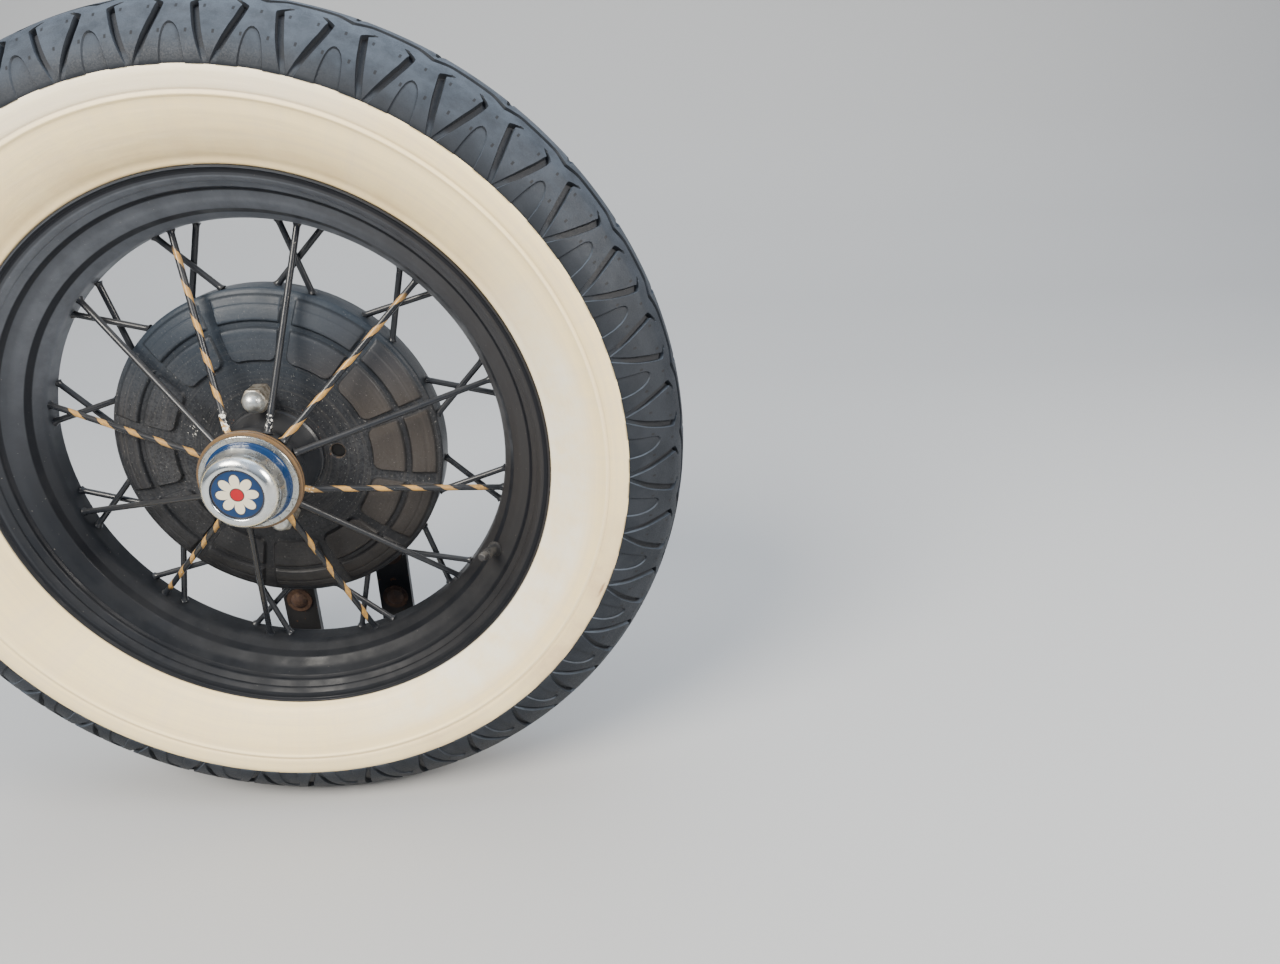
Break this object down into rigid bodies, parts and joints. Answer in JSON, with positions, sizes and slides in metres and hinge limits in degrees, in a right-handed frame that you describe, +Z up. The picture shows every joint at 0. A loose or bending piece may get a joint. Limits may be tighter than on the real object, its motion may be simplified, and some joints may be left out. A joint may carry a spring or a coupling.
{
  "type": "spare wire wheel with whitewall tyre on its rear carrier",
  "caption": "Welded wire wheel of a 1920s car with a whitewall tyre and domed hub cap, nutted to a two-arm carrier that bolts to the back of the body.",
  "frame": {"origin": "middle of the four carrier bolts, on the face that sits against the car", "axes": "+Z up, +Y from the wheel forward into the car, +X to the right as seen from behind the car"},
  "size_m": [0.7538, 0.2466, 0.7538],
  "materials": {
    "tyre_rubber": "matte dark tread with an ivory side wall",
    "black_enamel": "gloss, a little dusty",
    "shell_enamel": "satin, dusty",
    "ring_paint": "satin gold-brown",
    "bright_plate": "dulled plate",
    "enamel_badge": "gloss enamel in blue, cream and red",
    "valve_rubber": "matte",
    "carrier_paint": "satin black",
    "rusty_steel": "rusted"
  },
  "bodies": {
    "root": {"tyre": "tyre_rubber", "rim": "black_enamel", "front_spokes": "black_enamel", "rear_spokes": "black_enamel", "hub_shell": "shell_enamel", "hub_barrel": "black_enamel", "hub_ring": "ring_paint", "hub_cap": "bright_plate", "cap_disc": "enamel_badge", "valve_stem": "valve_rubber", "lug_nut_top": "bright_plate", "lug_nut_bottom": "bright_plate", "wheel_studs": "rusty_steel", "carrier_plate": "carrier_paint", "carrier_arm_left": "carrier_paint", "carrier_arm_right": "carrier_paint", "carrier_rivets": "carrier_paint", "carrier_tie": "carrier_paint", "arm_bolts": "rusty_steel"}
  },
  "joints": []
}
